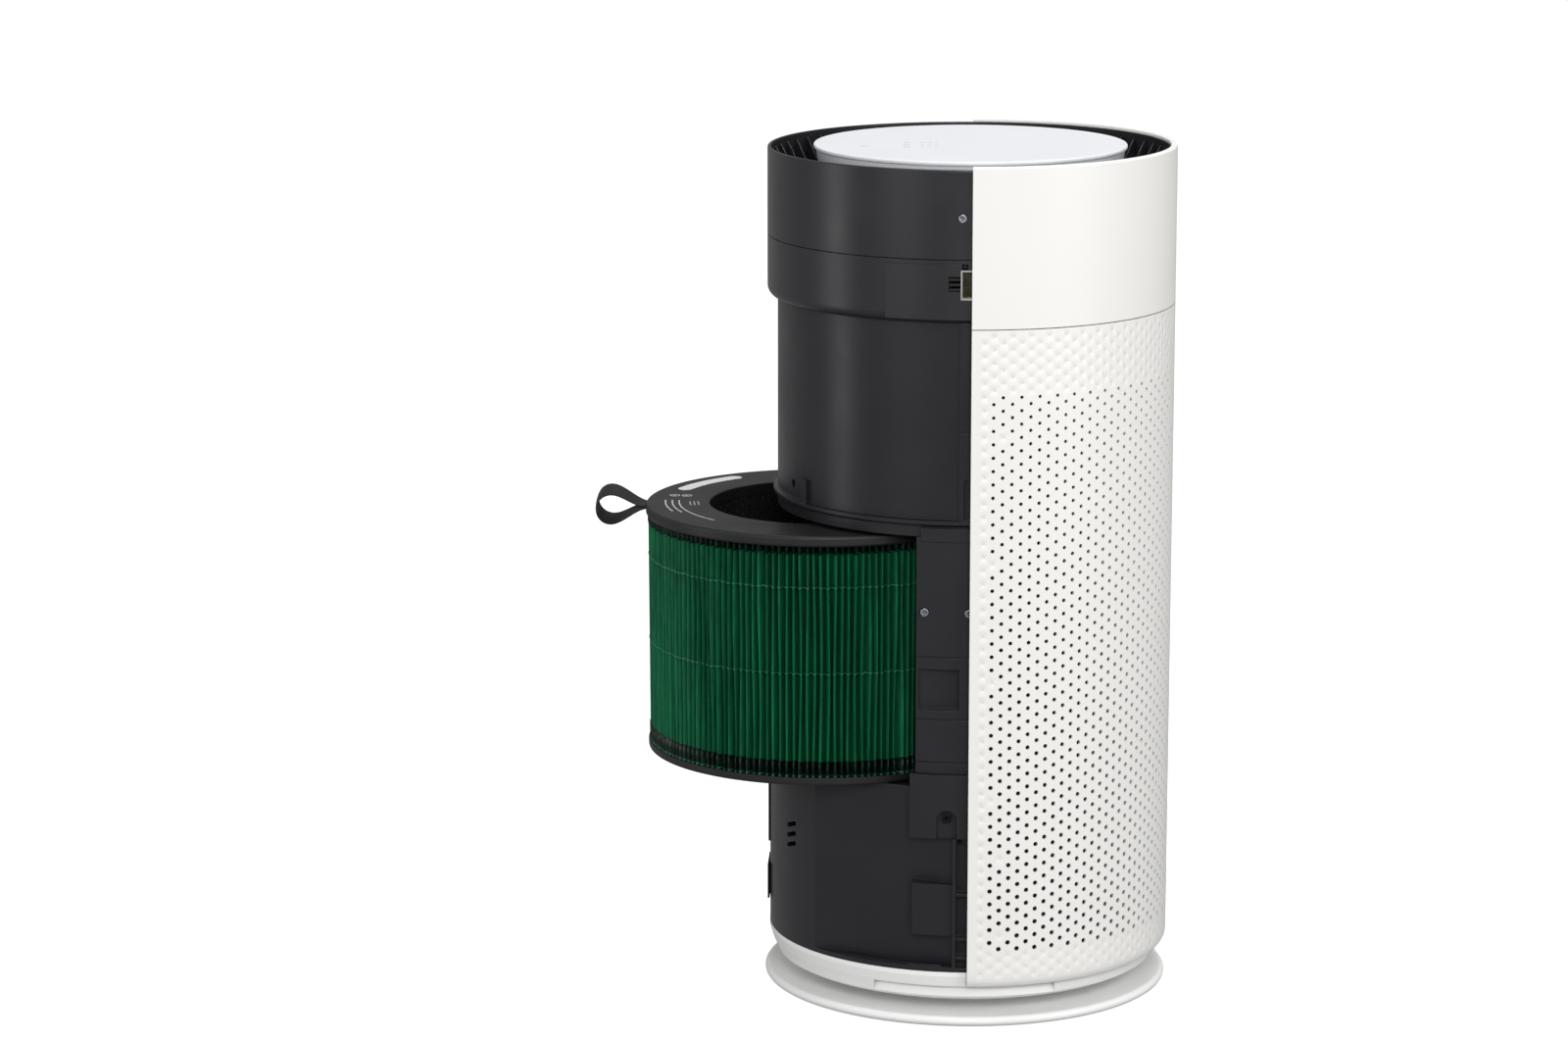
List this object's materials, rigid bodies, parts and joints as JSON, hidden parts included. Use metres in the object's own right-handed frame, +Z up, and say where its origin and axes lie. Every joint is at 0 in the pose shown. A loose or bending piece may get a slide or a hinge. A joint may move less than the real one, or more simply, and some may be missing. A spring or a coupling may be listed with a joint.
{
  "type": "air purifier",
  "caption": "Round tower air purifier with its rear cover off and its ring filter part-way out on a pull strap, with a turning fan and a sprung cover switch.",
  "frame": {"origin": "on the floor under the tower's axis, at the underside of the middle rubber pad", "axes": "+Z up the tower's axis, +X through the white front cover, so that the filter comes out towards -X; +Y to the right-hand pillar"},
  "size_m": [0.4251, 0.3, 0.624],
  "materials": {
    "white_plastic": "fine satin moulded plastic",
    "white_grille": "satin moulded plastic, perforated",
    "foot_plastic": "smooth satin moulded plastic",
    "black_plastic": "satin moulded plastic",
    "black_band": "satin moulded plastic",
    "dark_plastic": "matt moulded plastic",
    "cap_plastic": "fine textured moulded plastic",
    "display_plastic": "smooth satin plastic",
    "skirt_plastic": "silver-grey paint",
    "rubber": "matt rubber",
    "foam": "soft closed-cell foam",
    "plated_steel": "zinc-plated steel",
    "black_steel": "black oxide steel",
    "shaft_steel": "ground steel",
    "motor_metal": "die-cast aluminium",
    "catch_metal": "formed spring steel",
    "circuit_board": "green solder mask",
    "board_parts": "mixed electronic parts",
    "sensor_metal": "plain metal can on a small board",
    "fan_plastic": "plain moulded plastic",
    "wire": "sleeved wires",
    "net": "woven black net",
    "pleat_media": "green pleated fibre media",
    "fringe_media": "glued pleat ends",
    "glue": "hot-melt bead",
    "carbon": "carbon granules in a honeycomb",
    "label": "blank paper label",
    "strap_fabric": "woven webbing"
  },
  "bodies": {
    "chassis": {"foot_base": "foot_plastic", "foot_pads": "rubber", "base_tray": "white_plastic", "lower_housing": "black_plastic", "filter_deck": "black_plastic", "rear_hooks": "black_plastic", "power_inlet": "dark_plastic", "power_board": "circuit_board", "board_parts": "board_parts", "dust_sensor": "dark_plastic", "gas_sensor": "sensor_metal", "left_pillar": "black_plastic", "right_pillar": "black_plastic", "pillar_screws": "plated_steel", "left_block": "black_plastic", "right_block": "black_plastic", "block_screws": "black_steel", "front_posts": "black_plastic", "fan_housing": "black_plastic", "inlet_guard": "dark_plastic", "inlet_seal": "foam", "motor_bearings": "shaft_steel", "fan_motor": "motor_metal", "motor_mount": "black_plastic", "motor_dampers": "rubber", "motor_screws": "plated_steel", "middle_band": "black_band", "catch_plates": "catch_metal", "catch_forks": "dark_plastic", "safety_switch": "dark_plastic", "outlet_housing": "black_band", "outlet_louvres": "dark_plastic", "display_skirt": "skirt_plastic", "display_panel": "display_plastic", "control_board": "circuit_board", "band_screws": "plated_steel", "wire_harness": "wire", "front_cover": "white_plastic", "front_grille": "white_grille", "grille_net": "net"},
    "fan": {"impeller": "fan_plastic", "impeller_nut": "plated_steel", "motor_shaft": "shaft_steel"},
    "filter": {"filter_top_cap": "cap_plastic", "filter_bottom_cap": "cap_plastic", "filter_pleats": "pleat_media", "pleat_fringes": "fringe_media", "glue_bands": "glue", "carbon_core": "carbon", "core_net": "net", "filter_label": "label", "filter_strap": "strap_fabric"},
    "plunger": {"switch_plunger": "dark_plastic"}
  },
  "joints": [
    {"name": "fan_spin", "type": "hinge", "parent": "chassis", "child": "fan", "pos_m": [0, 0, 0.46], "axis": [0, 0, 1], "continuous": true},
    {"name": "filter_slide", "type": "slide", "parent": "chassis", "child": "filter", "axis": [-1, 0, 0], "range_m": [-0.1065, 0.175]},
    {"name": "switch_press", "type": "slide", "parent": "chassis", "child": "plunger", "axis": [0, 1, 0], "range_m": [0, 0.0025], "stiffness_N_per_m": 400, "springref_m": -0.002}
  ]
}
